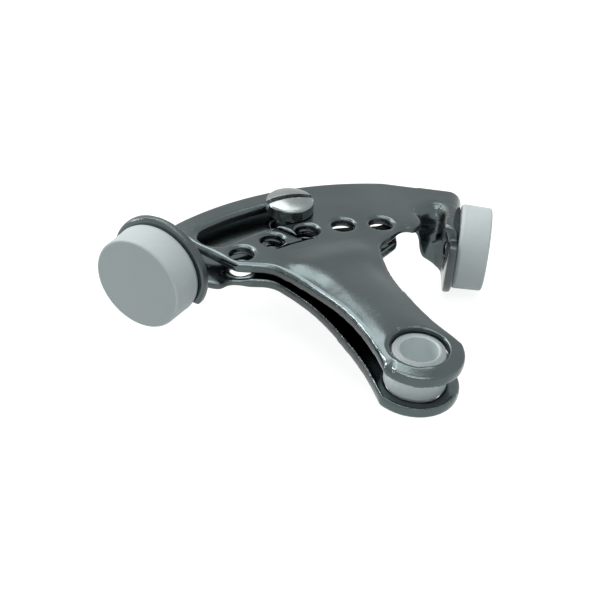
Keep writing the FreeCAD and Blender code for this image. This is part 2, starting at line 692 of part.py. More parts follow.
def make_buffer(label, placement):
    """Round rubber buffer with a stem that locates it in its flange."""
    body = add_body(label, placement)
    wide = [(0.5, "buffer_diameter")]
    stem = [(1, "stem_radius"), (-1, "stem_clearance")]
    depth = [(-1, "stem_length")]
    face = [(1, "buffer_length")]
    bevel = [(-1, "buffer_bevel")]
    tapered = wide + [(-1, "buffer_narrowing")]
    straight = face + bevel + [(-2, "buffer_narrowing")]
    points = [([], depth), (stem, depth), (stem, []), (wide, []), (wide, straight)]
    points += [(tapered, face + [(-0.6, "buffer_bevel")]), (tapered + bevel, face), ([], face)]
    sketch = add_sketch(body, f"{label}_section", "XZ_Plane")
    draw_outline(sketch, points)
    body.Tip = revolve(body, "PartDesign::Revolution", f"{label}_moulded", sketch)


turned_over = Placement(Vector(), Rotation(Vector(0, 1, 0), 180))
stamping = arm_shape()
add_feature("upper_arm", stamping, Placement())
add_feature("lower_arm", stamping, turned_over)
make_bushing()
make_screw()
make_nut()
centre = neck.origin - Vector(0, 0, size("flange_drop"))
right_place = Placement(centre, Rotation(Vector(0, 0, 1), neck.out))
make_buffer("right_bumper", right_place)
make_buffer("left_bumper", turned_over * right_place)
doc.recompute()

NODES = ["upper_arm", "lower_arm", "pin_bushing", "clamp_screw", "clamp_nut", "right_bumper", "left_bumper"]

for item in doc.Objects:
    if "Invalid" in item.State or "Error" in item.State:
        raise RuntimeError(f"{item.Label} did not compute: {item.State}")
os.makedirs("parts", exist_ok=True)
for name in NODES:
    item = doc.getObjectsByLabel(name)[0]
    shape = item.Shape
    if shape.isNull() or not shape.isValid() or len(shape.Solids) != 1:
        raise RuntimeError(f"{name} is not one sound solid")
    shape.exportStep(f"parts/{name}.step")
    print(f"{name}: {shape.Volume:.1f} mm3, {len(shape.Faces)} faces")
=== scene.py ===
# %% [markdown]
# # Hinge pin door stop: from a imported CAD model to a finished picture
#
# The object hangs on the pin of a door hinge. Two pressed steel arms swing about that pin, a slotted
# screw clamps them together, and each arm ends in a flange that carries a rubber buffer.
# The CAD model already gives every size and every joint. What it can't give is the finish: rounded
# plated edges, the rolled rims that a punch leaves, thread, moulded rubber and a studio to see them in.
# This lesson adds those, one piece at a time, always in the CAD model's own place and in metres.

import json
import math

import bmesh
import bpy
import numpy as np
from mathutils import Matrix, Vector, bvhtree, kdtree


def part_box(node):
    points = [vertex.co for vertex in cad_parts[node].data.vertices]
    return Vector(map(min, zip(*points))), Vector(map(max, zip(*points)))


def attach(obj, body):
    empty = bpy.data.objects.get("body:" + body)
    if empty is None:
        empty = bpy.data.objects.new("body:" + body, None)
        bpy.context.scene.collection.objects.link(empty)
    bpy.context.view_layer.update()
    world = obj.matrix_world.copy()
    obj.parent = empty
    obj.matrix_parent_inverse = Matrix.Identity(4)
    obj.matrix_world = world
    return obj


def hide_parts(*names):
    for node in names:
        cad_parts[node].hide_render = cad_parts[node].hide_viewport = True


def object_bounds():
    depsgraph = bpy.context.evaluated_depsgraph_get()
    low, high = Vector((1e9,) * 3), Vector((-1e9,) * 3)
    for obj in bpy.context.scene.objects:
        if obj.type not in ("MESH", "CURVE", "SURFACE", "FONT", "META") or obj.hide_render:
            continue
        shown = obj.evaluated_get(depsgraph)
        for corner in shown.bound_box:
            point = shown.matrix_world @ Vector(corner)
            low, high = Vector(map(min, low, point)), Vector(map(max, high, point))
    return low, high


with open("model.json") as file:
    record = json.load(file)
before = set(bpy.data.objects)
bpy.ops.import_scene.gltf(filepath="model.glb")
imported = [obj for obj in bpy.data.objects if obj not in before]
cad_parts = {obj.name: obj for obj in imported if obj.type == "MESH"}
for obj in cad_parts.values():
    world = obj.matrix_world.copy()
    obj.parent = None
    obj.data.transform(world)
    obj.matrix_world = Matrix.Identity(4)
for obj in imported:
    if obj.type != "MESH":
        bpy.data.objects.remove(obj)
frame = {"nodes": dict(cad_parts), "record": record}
cad_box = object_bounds()
record = frame["record"]
MM = 0.001
print("CAD nodes:", sorted(frame["nodes"]))

# %% [markdown]
# ## Camera
#
# The photograph looks down on the stop from in front and to the left, from about 17 cm away, so near
# parts look larger than far ones. Points of both arms were matched to the picture to find where the
# camera stood. It is built from its three axes: where it looks, its right and its up. Writing the axes
# into a matrix is surer than three rotation angles, which depend on the order they are applied in.

# %% Camera
CAMERA_PLACE = Vector((-78.622, -104.802, 106.622)) * MM
CAMERA_AZIMUTH = math.radians(-28.1281)
CAMERA_DOWN = math.radians(36.0344)
CAMERA_ROLL = math.radians(3.8504)
CAMERA_LENS = 60.80


def camera_matrix():
    """The camera's place and axes as one matrix: it looks along its own -Z."""
    level = math.cos(CAMERA_DOWN)
    looks = Vector((-math.sin(CAMERA_AZIMUTH) * level, math.cos(CAMERA_AZIMUTH) * level, -math.sin(CAMERA_DOWN)))
    side = Vector((math.cos(CAMERA_AZIMUTH), math.sin(CAMERA_AZIMUTH), 0.0))
    above = side.cross(looks)
    right = side * math.cos(CAMERA_ROLL) + above * math.sin(CAMERA_ROLL)
    up = above * math.cos(CAMERA_ROLL) - side * math.sin(CAMERA_ROLL)
    return Matrix.Translation(CAMERA_PLACE) @ Matrix((right, up, -looks)).transposed().to_4x4()


camera_data = bpy.data.cameras.new("camera")
camera_data.sensor_width = 36.0
camera_data.lens = CAMERA_LENS
camera_data.clip_start = 0.005
camera = bpy.data.objects.new("camera", camera_data)
camera.matrix_world = camera_matrix()
bpy.context.scene.collection.objects.link(camera)
bpy.context.scene.camera = camera
bpy.context.scene.view_settings.view_transform = "Standard"
print("camera stands", round(CAMERA_PLACE.length / MM), "mm from the hinge pin")

# %% [markdown]
# ## Small tools for nodes
#
# A material or a world is a tree of nodes. Three helpers keep the trees short to read: one adds a node
# and sets its options, one sets a socket's own value, and one joins an output to an input.

# %% Node helpers


def add_node(tree, kind, **options):
    """A new node with its options set."""
    made = tree.nodes.new(kind)
    for option, value in options.items():
        setattr(made, option, value)
    return made


def set_value(node, socket, value):
    """Sets an unlinked input by name or number."""
    node.inputs[socket].default_value = value
    return node


def join(tree, output, target):
    """Links an output to an input."""
    tree.links.new(output, target)


def math_node(tree, operation, first, second=None, clamp=False):
    """A Math node on sockets or plain numbers. Returns its output."""
    node = add_node(tree, "ShaderNodeMath", operation=operation, use_clamp=clamp)
    for index, source in enumerate((first, second)):
        if source is None:
            continue
        if isinstance(source, (int, float)):
            node.inputs[index].default_value = source
        else:
            join(tree, source, node.inputs[index])
    return node.outputs[0]


def remap(tree, source, low, high, to_low, to_high):
    """A Map Range node from one span to another, held inside it. Returns its output."""
    node = add_node(tree, "ShaderNodeMapRange", clamp=True)
    for socket, value in (("From Min", low), ("From Max", high), ("To Min", to_low), ("To Max", to_high)):
        set_value(node, socket, value)
    join(tree, source, node.inputs["Value"])
    return node.outputs["Result"]


def blend_colours(tree, share, first, second):
    """A colour between two: each is a socket or a plain colour."""
    node = add_node(tree, "ShaderNodeMix", data_type="RGBA")
    join(tree, share, node.inputs["Factor"])
    for name, source in (("A", first), ("B", second)):
        socket = next(s for s in node.inputs if s.name == name and s.type == "RGBA")
        if isinstance(source, tuple):
            socket.default_value = (*source, 1.0)
        else:
            join(tree, source, socket)
    return next(s for s in node.outputs if s.type == "RGBA")


print("node helpers are ready")

# %% [markdown]
# ## Studio
#
# Plated steel has hardly any colour of its own: it shows what stands around it. So the studio is part
# of the finish. The backdrop is white for the camera and for mirror-like rays, and dimmer for the soft
# light that falls on the rubber, because a white room on all sides would flatten it.
# The floor is pale, and it keeps a faint shadow: part of its white is its own glow, part is the light
# that the object can take away.

# %% World and floor


def seen_directly(tree):
    """1 for rays from the camera, from a mirror or through glass, and 0 for soft light."""
    path = add_node(tree, "ShaderNodeLightPath")
    mirror = math_node(tree, "MAXIMUM", path.outputs["Is Camera Ray"], path.outputs["Is Glossy Ray"])
    return math_node(tree, "MAXIMUM", mirror, path.outputs["Is Transmission Ray"])


world = bpy.data.worlds.new("studio")
world.use_nodes = True
bpy.context.scene.world = world
sky = world.node_tree
sky.nodes.clear()
room = set_value(add_node(sky, "ShaderNodeBackground"), "Color", (0.93, 1.0, 0.99, 1.0))
set_value(room, "Strength", 0.56)
white = set_value(add_node(sky, "ShaderNodeBackground"), "Color", (1.0, 1.0, 1.0, 1.0))
choice = add_node(sky, "ShaderNodeMixShader")
join(sky, seen_directly(sky), choice.inputs["Fac"])
join(sky, room.outputs[0], choice.inputs[1])
join(sky, white.outputs[0], choice.inputs[2])
join(sky, choice.outputs[0], add_node(sky, "ShaderNodeOutputWorld").inputs["Surface"])

floor_mesh = bpy.data.meshes.new("floor")
half = 2.5
floor_level = cad_box[0].z
corners = [(x * half, y * half, floor_level) for x, y in ((-1, -1), (1, -1), (1, 1), (-1, 1))]
floor_mesh.from_pydata(corners, [], [(0, 1, 2, 3)])
floor = bpy.data.objects.new("floor", floor_mesh)
bpy.context.scene.collection.objects.link(floor)

paper = bpy.data.materials.new("floor_paper")
paper.use_nodes = True
tree = paper.node_tree
tree.nodes.clear()
matt = set_value(add_node(tree, "ShaderNodeBsdfDiffuse"), "Color", (0.66, 0.67, 0.67, 1.0))
thin = set_value(add_node(tree, "ShaderNodeBsdfDiffuse"), "Color", (0.3, 0.3, 0.3, 1.0))
glow = set_value(add_node(tree, "ShaderNodeEmission"), "Strength", 0.86)
lit = add_node(tree, "ShaderNodeAddShader")
join(tree, thin.outputs[0], lit.inputs[0])
join(tree, glow.outputs[0], lit.inputs[1])
choice = add_node(tree, "ShaderNodeMixShader")
join(tree, seen_directly(tree), choice.inputs["Fac"])
join(tree, matt.outputs[0], choice.inputs[1])
join(tree, lit.outputs[0], choice.inputs[2])
join(tree, choice.outputs[0], add_node(tree, "ShaderNodeOutputMaterial").inputs["Surface"])
floor_mesh.materials.append(paper)
print("floor at", round(floor_level / MM, 2), "mm")

# %% [markdown]
# ## Lamps
#
# A lamp's power says little about how bright it looks in a mirror: that depends on its area too.
# `softbox` therefore takes the brightness of its face, where 1 is the white of the backdrop, and works
# the power out. One large box above gives the rubber its soft gradient. A wide panel behind the stop
# is what the pressed shoulders mirror, and a smaller one beside it shows in the ring round the eye. Two
# narrow bright strips behind draw the thin lines of light along the rounded edges, and one in front does
# so in the hollow of the neck.

# %% Softboxes


def softbox(name, place, aim, width, height, brightness):
    """A rectangular lamp at a place, aimed at a point, with a face of a given brightness."""
    data = bpy.data.lights.new(name, "AREA")
    data.shape = "RECTANGLE"
    data.size = width
    data.size_y = height
    data.energy = brightness * math.pi * width * height
    lamp = bpy.data.objects.new(name, data)
    lamp.location = place
    lamp.rotation_euler = (Vector(place) - Vector(aim)).to_track_quat("Z", "Y").to_euler()
    lamp.visible_camera = False
    bpy.context.scene.collection.objects.link(lamp)
    print(f"{name}: {data.energy:.2f} W")
    return lamp


MIDDLE = (0.0, 0.02, 0.0)


def aside(bearing, height, distance):
    """A place at a compass bearing (degrees from +X) and a height angle, seen from the middle."""
    turn, lift = math.radians(bearing), math.radians(height)
    level = math.cos(lift) * distance
    return (MIDDLE[0] + level * math.cos(turn), MIDDLE[1] + level * math.sin(turn), math.sin(lift) * distance)


softbox("top_box", aside(200, 80, 0.60), MIDDLE, 0.42, 0.42, 2.2)
softbox("shoulder_panel", aside(94, 50, 0.60), MIDDLE, 0.32, 0.26, 3.8)
softbox("eye_panel", aside(66, 62, 0.60), MIDDLE, 0.26, 0.12, 3.0)
softbox("edge_strip", aside(124, 36, 0.62), MIDDLE, 0.06, 0.24, 20.0)
softbox("low_strip", aside(145, 12, 0.62), MIDDLE, 0.08, 0.16, 12.0)
softbox("front_strip", aside(-115, 60, 0.55), MIDDLE, 0.30, 0.04, 8.0)

# %% [markdown]
# ## Shared surface effects
#
# Several finishes need the same two effects, so each is a node group with its own inputs, built once.
# `surface_marks` puts out slow clouds, fine scratches and grain, all from noise in object space, so the
# pattern sits still on the piece when a joint moves. `worn_edges` takes how much an edge sticks out and
# breaks it up with noise, because handling rubs the plate there first.

# %% Surface marks


def new_group(name, inputs, outputs):
    """An empty shader group with float or vector inputs and float outputs."""
    tree = bpy.data.node_groups.new(name, "ShaderNodeTree")
    for label, kind, value in inputs:
        socket = tree.interface.new_socket(label, in_out="INPUT", socket_type=kind)
        if value is not None:
            socket.default_value = value
    for label in outputs:
        tree.interface.new_socket(label, in_out="OUTPUT", socket_type="NodeSocketFloat")
    return tree, add_node(tree, "NodeGroupInput"), add_node(tree, "NodeGroupOutput")


def noise(tree, vector, scale, detail=2.0, roughness=0.5):
    """A Noise Texture node's value. The scale is a socket or a number."""
    node = add_node(tree, "ShaderNodeTexNoise")
    set_value(node, "Detail", detail)
    set_value(node, "Roughness", roughness)
    join(tree, vector, node.inputs["Vector"])
    if isinstance(scale, (int, float)):
        set_value(node, "Scale", scale)
    else:
        join(tree, scale, node.inputs["Scale"])
    return node.outputs["Fac"]


def build_surface_marks():
    """Clouds, scratches and grain from one vector."""
    tree, start, end = new_group(
        "surface_marks",
        [("Vector", "NodeSocketVector", None), ("Cloud Scale", "NodeSocketFloat", 90.0),
         ("Scratch Scale", "NodeSocketFloat", 260.0), ("Grain Scale", "NodeSocketFloat", 2400.0)],
        ["Clouds", "Scratches", "Grain"],
    )
    vector = start.outputs["Vector"]
    join(tree, noise(tree, vector, start.outputs["Cloud Scale"], 3.0), end.inputs["Clouds"])
    join(tree, noise(tree, vector, start.outputs["Grain Scale"], 2.0), end.inputs["Grain"])
    layers = []
    for turn, stretch in ((0.5, 26.0), (-0.9, 38.0), (1.9, 30.0)):
        laid = add_node(tree, "ShaderNodeMapping")
        set_value(laid, "Rotation", (0.0, 0.0, turn))
        set_value(laid, "Scale", (1.0, stretch, stretch * 0.4))
        join(tree, vector, laid.inputs["Vector"])
        streak = noise(tree, laid.outputs["Vector"], start.outputs["Scratch Scale"], 1.0)
        layers.append(remap(tree, streak, 0.68, 0.78, 0.0, 1.0))
    most = math_node(tree, "MAXIMUM", math_node(tree, "MAXIMUM", layers[0], layers[1]), layers[2])
    join(tree, most, end.inputs["Scratches"])
    return tree


surface_marks = build_surface_marks()
print("surface_marks has", len(surface_marks.nodes), "nodes")

# %% Worn edges


def build_worn_edges():
    """A mask of edges that stick out, broken up by noise."""
    tree, start, end = new_group(
        "worn_edges",
        [("Vector", "NodeSocketVector", None), ("Edge", "NodeSocketFloat", 0.0),
         ("Break Scale", "NodeSocketFloat", 500.0), ("Start", "NodeSocketFloat", 0.54),
         ("Full", "NodeSocketFloat", 0.64)],
        ["Wear"],
    )
    edge = add_node(tree, "ShaderNodeMapRange", clamp=True)
    join(tree, start.outputs["Edge"], edge.inputs["Value"])
    join(tree, start.outputs["Start"], edge.inputs["From Min"])
    join(tree, start.outputs["Full"], edge.inputs["From Max"])
    broken = noise(tree, start.outputs["Vector"], start.outputs["Break Scale"], 3.0)
    join(tree, math_node(tree, "MULTIPLY", edge.outputs["Result"], remap(tree, broken, 0.3, 0.6, 0.35, 1.0)),
         end.inputs["Wear"])
    return tree


worn_edges = build_worn_edges()
print("worn_edges has", len(worn_edges.nodes), "nodes")

# %% [markdown]
# ## Making a material
#
# Every finish starts the same way: a Principled shader, object coordinates and the shared effects.
# `start_material` lays that out and hands back the parts, and each finish then wires its own look.
# A value that is the same all over the piece is set on the shader's own socket.

# %% Material helper


def use_group(tree, group, vector, **values):
    """Places a shared group and sets its inputs."""
    node = add_node(tree, "ShaderNodeGroup", node_tree=group)
    join(tree, vector, node.inputs["Vector"])
    for label, value in values.items():
        set_value(node, label.replace("_", " "), value)
    return node


def start_material(name):
    """A material with a Principled shader. Returns material, tree, shader and object coordinates."""
    material = bpy.data.materials.new(name)
    material.use_nodes = True
    tree = material.node_tree
    tree.nodes.clear()
    shader = add_node(tree, "ShaderNodeBsdfPrincipled")
    join(tree, shader.outputs[0], add_node(tree, "ShaderNodeOutputMaterial").inputs["Surface"])
    place = add_node(tree, "ShaderNodeTexCoord").outputs["Object"]
    return material, tree, shader, place


def bump(tree, height, distance, strength=1.0, before=None):
    """A Bump node's normal from a height in metres."""
    node = add_node(tree, "ShaderNodeBump")
    set_value(node, "Distance", distance)
    set_value(node, "Strength", strength)
    join(tree, height, node.inputs["Height"])
    if before is not None:
        join(tree, before, node.inputs["Normal"])
    return node.outputs["Normal"]


print("material helpers are ready")

# %% [markdown]
# ## Finish: dark nickel plate
#
# The arms are polished, then plated in a dark, slightly green grey. The plate is a mirror with a low
# reflectance, so it is a metal with a dark colour, not a black paint with gloss on it. Two things keep
# it from looking like a computer's metal: the sheet is never quite flat, which the slow bump copies,
# and the sheared edges of the sheet are rougher than its faces. Where those edges and the rims are, the
# mesh says in two attributes, `cut_edge` and `rim`, which are measured below when the arm is made.

# %% Dark nickel plate


def make_dark_plate():
    """Polished dark plate with rougher sheared edges."""
    material, tree, shader, place = start_material("dark_nickel_plate")
    set_value(shader, "Metallic", 1.0)
    marks = use_group(tree, surface_marks, place, Cloud_Scale=70.0, Scratch_Scale=240.0, Grain_Scale=2600.0)
    worn = use_group(tree, worn_edges, place, Break_Scale=420.0, Start=0.25, Full=0.9)
    join(tree, add_node(tree, "ShaderNodeAttribute", attribute_name="rim").outputs["Fac"], worn.inputs["Edge"])
    sheared = add_node(tree, "ShaderNodeAttribute", attribute_name="cut_edge").outputs["Fac"]
    clouds = remap(tree, marks.outputs["Clouds"], 0.3, 0.7, 0.0, 1.0)
    plate = blend_colours(tree, clouds, (0.076, 0.094, 0.096), (0.098, 0.120, 0.122))
    rubbed = blend_colours(tree, worn.outputs["Wear"], plate, (0.16, 0.178, 0.178))
    join(tree, blend_colours(tree, sheared, rubbed, (0.085, 0.098, 0.097)), shader.inputs["Base Color"])
    polish = remap(tree, marks.outputs["Clouds"], 0.25, 0.75, 0.13, 0.20)
    scratched = math_node(tree, "ADD", polish, math_node(tree, "MULTIPLY", marks.outputs["Scratches"], 0.10))
    torn = math_node(tree, "MULTIPLY", sheared, 0.18)
    join(tree, math_node(tree, "ADD", scratched, torn, clamp=True), shader.inputs["Roughness"])
    waves = noise(tree, place, 120.0, 1.0)
    pits = math_node(tree, "MULTIPLY", marks.outputs["Grain"], math_node(tree, "ADD", sheared, 0.10))
    lines = math_node(tree, "MULTIPLY", marks.outputs["Scratches"], -1.0)
    sheet = bump(tree, waves, 0.00003, 0.5)
    rough = bump(tree, pits, 0.00010, 0.8, sheet)
    join(tree, bump(tree, lines, 0.000004, 0.5, rough), shader.inputs["Normal"])
    return material


dark_plate = make_dark_plate()
print("dark_nickel_plate has", len(dark_plate.node_tree.nodes), "nodes")

# %% [markdown]
# ## Finish: bright nickel plate
#
# Screw and nut are plated bright. They were turned before plating, so fine rings from the tool still
# show in the gloss. The rings are noise read by the distance from the screw's own axis: the Mapping node
# moves the axis to the middle, and a length replaces the x and y.

# %% Bright nickel plate


def make_bright_plate(axis):
    """Bright plate over fine turning rings round an upright axis."""
    material, tree, shader, place = start_material("bright_nickel_plate")
    set_value(shader, "Metallic", 1.0)
    centred = add_node(tree, "ShaderNodeMapping")
    set_value(centred, "Location", (-axis.x, -axis.y, 0.0))
    join(tree, place, centred.inputs["Vector"])
    split = add_node(tree, "ShaderNodeSeparateXYZ")
    join(tree, centred.outputs["Vector"], split.inputs[0])
    squares = math_node(tree, "ADD", math_node(tree, "MULTIPLY", split.outputs["X"], split.outputs["X"]),
                        math_node(tree, "MULTIPLY", split.outputs["Y"], split.outputs["Y"]))
    ring = add_node(tree, "ShaderNodeCombineXYZ")
    join(tree, math_node(tree, "SQRT", squares), ring.inputs["X"])
    join(tree, split.outputs["Z"], ring.inputs["Z"])
    rings = noise(tree, ring.outputs["Vector"], 5200.0, 1.0)
    marks = use_group(tree, surface_marks, place, Cloud_Scale=160.0, Scratch_Scale=700.0, Grain_Scale=4200.0)
    worn = use_group(tree, worn_edges, place, Break_Scale=900.0, Start=0.52, Full=0.6)
    join(tree, add_node(tree, "ShaderNodeNewGeometry").outputs["Pointiness"], worn.inputs["Edge"])
    clouds = remap(tree, marks.outputs["Clouds"], 0.3, 0.7, 0.0, 1.0)
    plate = blend_colours(tree, clouds, (0.21, 0.235, 0.233), (0.27, 0.295, 0.293))
    rubbed = blend_colours(tree, worn.outputs["Wear"], plate, (0.46, 0.48, 0.475))
    join(tree, rubbed, shader.inputs["Base Color"])
    polish = remap(tree, marks.outputs["Clouds"], 0.25, 0.75, 0.22, 0.32)
    scratched = math_node(tree, "MULTIPLY", marks.outputs["Scratches"], 0.14)
    join(tree, math_node(tree, "ADD", polish, scratched, clamp=True), shader.inputs["Roughness"])
    turned = bump(tree, rings, 0.000004, 0.7)
    join(tree, bump(tree, marks.outputs["Clouds"], 0.00005, 0.5, turned), shader.inputs["Normal"])
    return material


screw_low, screw_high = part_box("clamp_screw")
screw_axis = (screw_low + screw_high) / 2
bright_plate = make_bright_plate(screw_axis)
print("screw axis at", [round(v / MM, 2) for v in screw_axis[:2]])

# %% [markdown]
# ## Finish: rubber and moulded plastic
#
# The buffers are light grey rubber with a dry satin skin: fairly rough, with a low broad sheen, faint
# mottling from the mould and a few darker rubs. The striking face is painted darker all over, as painted
# shade. The bushing is a harder, smoother plastic that lets a little light in, which softens its shadows.
# Its ends, which look up and down, are painted darker, as painted shade. In both, the direction in which
# the surface looks says where the painted shade is.

# %% Rubber


def make_rubber():
    """Light grey satin rubber."""
    material, tree, shader, place = start_material("buffer_rubber")
    set_value(shader, "IOR", 1.50)
    set_value(shader, "Specular IOR Level", 0.35)
    set_value(shader, "Sheen Weight", 0.12)
    set_value(shader, "Sheen Roughness", 0.5)
    marks = use_group(tree, surface_marks, place, Cloud_Scale=190.0, Scratch_Scale=420.0, Grain_Scale=2100.0)
    clouds = remap(tree, marks.outputs["Clouds"], 0.28, 0.72, 0.0, 1.0)
    skin = blend_colours(tree, clouds, (0.385, 0.425, 0.434), (0.430, 0.465, 0.474))
    # Painted shade: faces that look along X, the striking faces, are made darker all over.
    facing = add_node(tree, "ShaderNodeSeparateXYZ")
    join(tree, add_node(tree, "ShaderNodeTexCoord").outputs["Normal"], facing.inputs[0])
    painted_face_shade = remap(tree, math_node(tree, "ABSOLUTE", facing.outputs["X"]), 0.62, 0.80, 0.0, 1.0)
    skin = blend_colours(tree, painted_face_shade, skin, (0.312, 0.346, 0.354))
    rubs = noise(tree, place, 310.0, 4.0, 0.65)
    spots = remap(tree, rubs, 0.66, 0.76, 0.0, 0.42)
    join(tree, blend_colours(tree, spots, skin, (0.30, 0.33, 0.33)), shader.inputs["Base Color"])
    dry = remap(tree, marks.outputs["Grain"], 0.3, 0.7, 0.50, 0.64)
    join(tree, dry, shader.inputs["Roughness"])
    skin_height = bump(tree, marks.outputs["Grain"], 0.00003, 0.6)
    join(tree, bump(tree, marks.outputs["Clouds"], 0.00022, 0.6, skin_height), shader.inputs["Normal"])
    return material


buffer_rubber = make_rubber()
print("buffer_rubber has", len(buffer_rubber.node_tree.nodes), "nodes")

# %% Moulded plastic


def make_plastic():
    """Light grey moulded plastic with a little depth."""
    material, tree, shader, place = start_material("bushing_plastic")
    set_value(shader, "IOR", 1.50)
    set_value(shader, "Subsurface Weight", 0.45)
    set_value(shader, "Subsurface Radius", (0.6, 0.65, 0.65))
    set_value(shader, "Subsurface Scale", 0.0012)
    marks = use_group(tree, surface_marks, place, Cloud_Scale=260.0, Scratch_Scale=600.0, Grain_Scale=3600.0)
    clouds = remap(tree, marks.outputs["Clouds"], 0.3, 0.7, 0.0, 1.0)
    body = blend_colours(tree, clouds, (0.55, 0.605, 0.615), (0.60, 0.655, 0.665))
    # Painted shade: the ends, which look up and down, are made darker, broken up a little by grain.
    facing = add_node(tree, "ShaderNodeSeparateXYZ")
    join(tree, add_node(tree, "ShaderNodeTexCoord").outputs["Normal"], facing.inputs[0])
    ends = remap(tree, math_node(tree, "ABSOLUTE", facing.outputs["Z"]), 0.6, 0.95, 0.0, 1.0)
    end_shade_grain = remap(tree, marks.outputs["Grain"], 0.3, 0.7, 0.85, 1.0)
    painted_end_shade = math_node(tree, "MULTIPLY", ends, end_shade_grain)
    join(tree, blend_colours(tree, painted_end_shade, body, (0.230, 0.256, 0.262)), shader.inputs["Base Color"])
    join(tree, remap(tree, marks.outputs["Grain"], 0.3, 0.7, 0.30, 0.44), shader.inputs["Roughness"])
    join(tree, bump(tree, marks.outputs["Grain"], 0.000012, 0.6), shader.inputs["Normal"])
    return material


bushing_plastic = make_plastic()
print("bushing_plastic has", len(bushing_plastic.node_tree.nodes), "nodes")

# %% [markdown]
# ## Turned and moulded shapes
#
# Buffers, bushing and screw are round. Their shape is one outline, spun about an axis. Real edges are
# never sharp, so `soften` replaces each corner of the outline by a small arc first. It also leaves a
# support point just beyond each arc: without it, smooth shading would bend the light on the flat faces.

# %% Outline and lathe helpers


def soften(outline, radii, steps=7, support=0.05):
    """Rounds the corners of an open outline of (along, radius) points in millimetres."""
    points = [Vector(p) for p in outline]
    soft = [points[0]]
    for index in range(1, len(points) - 1):
        corner, radius = points[index], radii[index]
        if radius <= 0:
            soft.append(corner)
            continue
        back = (points[index - 1] - corner).normalized()
        on = (points[index + 1] - corner).normalized()
        half_angle = back.angle(on) / 2
        run = radius / math.tan(half_angle)
        middle = corner + (back + on).normalized() * (radius / math.sin(half_angle))
        first, last = corner + back * run, corner + on * run
        start = math.atan2(first.y - middle.y, first.x - middle.x)
        sweep = math.atan2(last.y - middle.y, last.x - middle.x) - start
        sweep = (sweep + math.pi) % (2 * math.pi) - math.pi
        soft.append(corner + back * (run + support))
        for step in range(steps + 1):
            angle = start + sweep * step / steps
            soft.append(middle + Vector((math.cos(angle), math.sin(angle))) * radius)
        soft.append(corner + on * (run + support))
    soft.append(points[-1])
    return soft


def add_object(name, mesh):
    """Puts a mesh in the scene as a piece at the origin."""
    made = bpy.data.objects.new(name, mesh)
    bpy.context.scene.collection.objects.link(made)
    return made


def lathe(name, outline, origin, axis, around=128, closed=False):
    """Spins an outline of (along, radius) millimetres about an axis. Points on the axis become poles."""
    out = Vector(axis).normalized()
    side = out.orthogonal().normalized()
    other = out.cross(side)
    work = bmesh.new()
    rings = []
    for along, radius in outline:
        foot = Vector(origin) + out * (along * MM)
        if radius < 1e-6:
            rings.append([work.verts.new(foot)])
            continue
        ring = []
        for step in range(around):
            turn = 2 * math.pi * step / around
            ring.append(work.verts.new(foot + (side * math.cos(turn) + other * math.sin(turn)) * (radius * MM)))
        rings.append(ring)
    pairs = list(zip(rings, rings[1:])) + ([(rings[-1], rings[0])] if closed else [])
    for low, high in pairs:
        for step in range(around):
            after = (step + 1) % around
            loop = [low[step % len(low)], low[after % len(low)], high[after % len(high)], high[step % len(high)]]
            corners = list(dict.fromkeys(loop))
            if len(corners) > 2:
                work.faces.new(corners)
    bmesh.ops.recalc_face_normals(work, faces=work.faces)
    mesh = bpy.data.meshes.new(name)
    work.to_mesh(mesh)
    work.free()
    mesh.shade_smooth()
    return add_object(name, mesh)


print("outline and lathe helpers are ready")

# %% [markdown]
# ## Rubber buffers
#
# A buffer is one moulding: a short round block with a stem at its back that fills the hole in the
# flange. Its mould leaves a generous round at the striking edge, a slight draught along the side, a
# faint parting line near the back and a face that is a little crowned. The record's mounts say where
# the striking faces are and which way they look, so the buffers are placed by those.

# %% Buffers
BUFFER_LENGTH = 6.2
buffer_outline = soften(
    [(-2.0, 0.0), (-2.0, 2.35), (0.0, 2.35), (0.0, 8.50), (0.55, 8.66), (0.72, 8.7), (0.9, 8.66),
     (6.10, 8.50), (6.2, 0.0)],
    [0, 0.4, 0.0, 0.28, 0.1, 0.06, 0.1, 0.45, 0], steps=8, support=0.03)
mounts = {mount["name"]: mount for mount in record["mounts"]}
buffers = {}
for side in ("right", "left"):
    mount = mounts[f"{side}_buffer_face"]
    axis = Vector(mount["axis"])
    back = Vector(mount["pos_m"]) - axis * (BUFFER_LENGTH * MM)
    buffers[side] = lathe(f"{side}_rubber_buffer", buffer_outline, back, axis, around=144)
    buffers[side].data.materials.append(buffer_rubber)
    print(side, "buffer:", len(buffers[side].data.polygons), "faces")

# %% [markdown]
# ## Bushing
#
# Both eyes turn on this plastic bushing, and the hinge pin goes through it. Between the eyes it is
# thicker, which keeps them apart. Its ends are crowned, and the mouth of the bore is well rounded so
# that the pin finds its way in. The outline is closed here, because the bore goes right through.

# %% Bushing
BORE = 3.275
half_bushing = soften(
    [(0.0, 5.3), (2.5, 5.3), (2.5, 4.5), (4.0, 4.5), (4.3, BORE + 0.35), (4.1, BORE), (0.0, BORE)],
    [0, 0.25, 0.0, 0.35, 0.3, 0.2, 0], steps=6, support=0.03)
mirrored = [Vector((-point.x, point.y)) for point in reversed(half_bushing)][1:-1]
bushing = lathe("hinge_pin_bushing", half_bushing + mirrored, (0, 0, 0), (0, 0, 1), around=128, closed=True)
bushing.data.materials.append(bushing_plastic)
print("bushing:", len(bushing.data.polygons), "faces")

# %% [markdown]
# ## Clamp screw
#
# A slotted screw with a fillister head: a straight side, a rolled edge and a low dome. The body is spun
# from its outline, then the driver's slot is cut with a Boolean and every new edge gets a small bevel.
# The shank is turned to the bottom of the thread, and the thread itself is laid round it in the next
# step.

